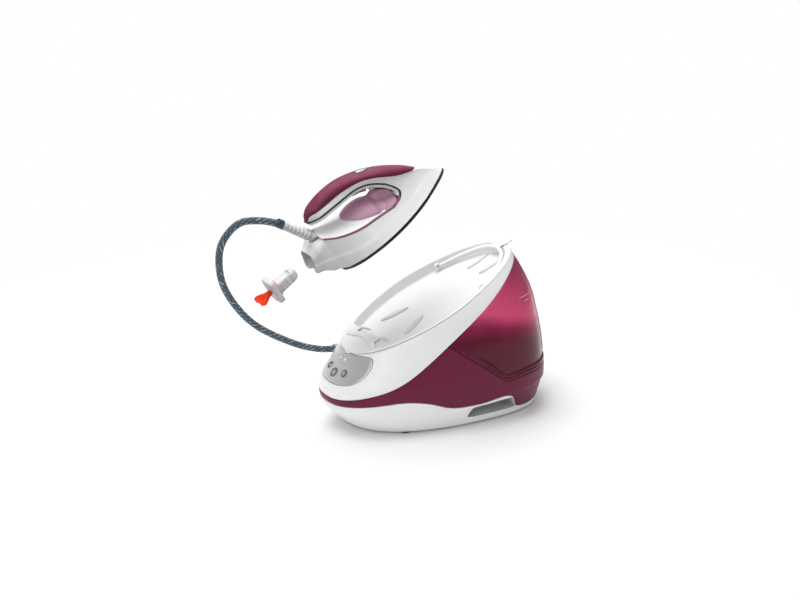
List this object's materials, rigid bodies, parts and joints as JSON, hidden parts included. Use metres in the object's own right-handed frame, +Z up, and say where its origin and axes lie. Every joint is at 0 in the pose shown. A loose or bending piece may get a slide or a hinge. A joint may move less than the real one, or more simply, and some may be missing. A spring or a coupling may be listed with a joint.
{
  "type": "steam generator iron",
  "caption": "Steam generator iron: a pressurised base with a sloping rest tray, removable water tank and lock hoop, and a steam iron on a flexible hose with a pull-out scale collector.",
  "frame": {"origin": "centre of the base underside, on the flat part of the bottom tray, which stands 3 mm above the soles of the rubber feet", "axes": "+Z up; -Y towards the control panel and the user; +Y towards the water tank; +X is the right-hand side seen from the user. The iron is lifted clear of the tray, nose up and towards +Y"},
  "size_m": [0.248, 0.5484, 0.4188],
  "materials": {
    "stainless_steel": "brushed",
    "burgundy_abs": "satin",
    "cast_aluminium": "cast",
    "silicone_tube": "satin",
    "copper_winding": "copper coloured",
    "silver_panel": "metallic lacquer",
    "white_abs": "satin",
    "orange_knob": "satin",
    "mauve_insert": "soft satin",
    "circuit_board": "lacquered",
    "grey_plastic": "satin",
    "dark_polymer": "satin",
    "black_rubber": "matt",
    "grip_polymer": "finely grained",
    "brass": "machined",
    "coated_sole": "glossy coated",
    "braided_hose": "braided",
    "red_control": "satin",
    "tinted_tank": "clear, polished"
  },
  "bodies": {
    "base": {"base_screw_left": "stainless_steel", "base_screw_right": "stainless_steel", "body_shell": "burgundy_abs", "boiler_body": "cast_aluminium", "boiler_cover": "stainless_steel", "boiler_feed_tube": "silicone_tube", "boiler_heater": "copper_winding", "bottom_tray": "white_abs", "control_board": "circuit_board", "control_panel": "silver_panel", "display_lens": "grey_plastic", "foot_front_left": "black_rubber", "foot_front_right": "black_rubber", "foot_rear_left": "black_rubber", "foot_rear_right": "black_rubber", "heel_stop": "white_abs", "hoop_pin_left": "stainless_steel", "hoop_pin_right": "stainless_steel", "hose_grommet": "grey_plastic", "latch_spring": "stainless_steel", "mains_plug": "grey_plastic", "power_cord": "grey_plastic", "rest_pad_front_left": "silicone_tube", "rest_pad_front_right": "silicone_tube", "rest_pad_rear_left": "silicone_tube", "rest_pad_rear_right": "silicone_tube", "rest_tray": "white_abs", "safety_valve": "brass", "solenoid_valve": "brass", "steam_hose": "braided_hose", "steam_tube": "silicone_tube", "tank_bay": "grey_plastic", "top_cover": "white_abs", "water_pump": "grey_plastic", "water_tube": "silicone_tube"},
    "hose_guard": {"hose_guard": "white_abs"},
    "iron": {"iron_body": "white_abs", "eye_trim": "dark_polymer", "handle_underside": "white_abs", "deck_cover": "white_abs", "deck_insert": "mauve_insert", "handle_grip": "grip_polymer", "trigger_switch": "dark_polymer", "soleplate": "coated_sole", "steam_chamber": "cast_aluminium", "sole_heater": "stainless_steel", "iron_steam_tube": "silicone_tube"},
    "collector": {"collector_body": "white_abs", "collector_seal": "mauve_insert"},
    "collector_knob": {"collector_knob": "orange_knob"},
    "steam_trigger": {"steam_trigger": "red_control"},
    "boost_button": {"boost_button": "silver_panel"},
    "steam_button": {"steam_button": "grey_plastic"},
    "eco_button": {"eco_button": "grey_plastic"},
    "power_button": {"power_button": "grey_plastic"},
    "lock_hoop": {"lock_hoop": "white_abs"},
    "water_tank": {"water_tank": "tinted_tank"},
    "tank_lid": {"tank_lid": "tinted_tank"},
    "tank_valve": {"tank_valve": "grey_plastic"},
    "tank_latch": {"tank_latch": "burgundy_abs"}
  },
  "joints": [
    {"name": "iron_lift", "type": "slide", "parent": "base", "child": "hose_guard", "axis": [0, 0.5921, -0.8059], "range_m": [0, 0.1525], "deforming": ["steam_hose"]},
    {"name": "iron_tilt", "type": "hinge", "parent": "hose_guard", "child": "iron", "pos_m": [0, -0.21292, 0.32125], "axis": [1, 0, 0], "range_deg": [-8, 0]},
    {"name": "collector_slide", "type": "slide", "parent": "iron", "child": "collector", "axis": [0, 0.848, 0.5299], "range_m": [0, 0.0595]},
    {"name": "collector_knob_turn", "type": "hinge", "parent": "collector", "child": "collector_knob", "pos_m": [0, -0.28564, 0.24515], "axis": [0, 0.848, 0.5299], "range_deg": [0, 90]},
    {"name": "steam_trigger_press", "type": "hinge", "parent": "iron", "child": "steam_trigger", "pos_m": [0, -0.12456, 0.38648], "axis": [-1, 0, 0], "range_deg": [0, 6], "stiffness_Nm_per_rad": 0.05},
    {"name": "boost_button_press", "type": "slide", "parent": "iron", "child": "boost_button", "axis": [0, 0.1402, -0.9901], "range_m": [0, 0.002], "stiffness_N_per_m": 300},
    {"name": "steam_button_press", "type": "slide", "parent": "base", "child": "steam_button", "axis": [0, 0.7848, -0.6198], "range_m": [0, 0.0012], "stiffness_N_per_m": 200},
    {"name": "eco_button_press", "type": "slide", "parent": "base", "child": "eco_button", "axis": [0, 0.7848, -0.6198], "range_m": [0, 0.0012], "stiffness_N_per_m": 200},
    {"name": "power_button_press", "type": "slide", "parent": "base", "child": "power_button", "axis": [0, 0.7848, -0.6198], "range_m": [0, 0.0012], "stiffness_N_per_m": 200},
    {"name": "lock_hoop_swing", "type": "hinge", "parent": "base", "child": "lock_hoop", "pos_m": [0, 0.05446, 0.21291], "axis": [1, 0, 0], "range_deg": [0, 60]},
    {"name": "water_tank_slide", "type": "slide", "parent": "base", "child": "water_tank", "axis": [0, 0.9903, 0.1392], "range_m": [0, 0.15]},
    {"name": "tank_lid_swing", "type": "hinge", "parent": "water_tank", "child": "tank_lid", "pos_m": [0, 0.16082, 0.222], "axis": [1, 0, 0], "range_deg": [0, 100]},
    {"name": "tank_valve_stroke", "type": "slide", "parent": "water_tank", "child": "tank_valve", "axis": [0, 1, 0], "range_m": [0, 0.004], "stiffness_N_per_m": 200},
    {"name": "tank_latch_press", "type": "slide", "parent": "base", "child": "tank_latch", "axis": [0, -1, 0], "range_m": [0, 0.003], "stiffness_N_per_m": 500, "deforming": ["latch_spring"]}
  ],
  "couplings": [
    {"joint": "iron_tilt", "follows": "iron_lift", "rad_per_m": -0.8927}
  ]
}
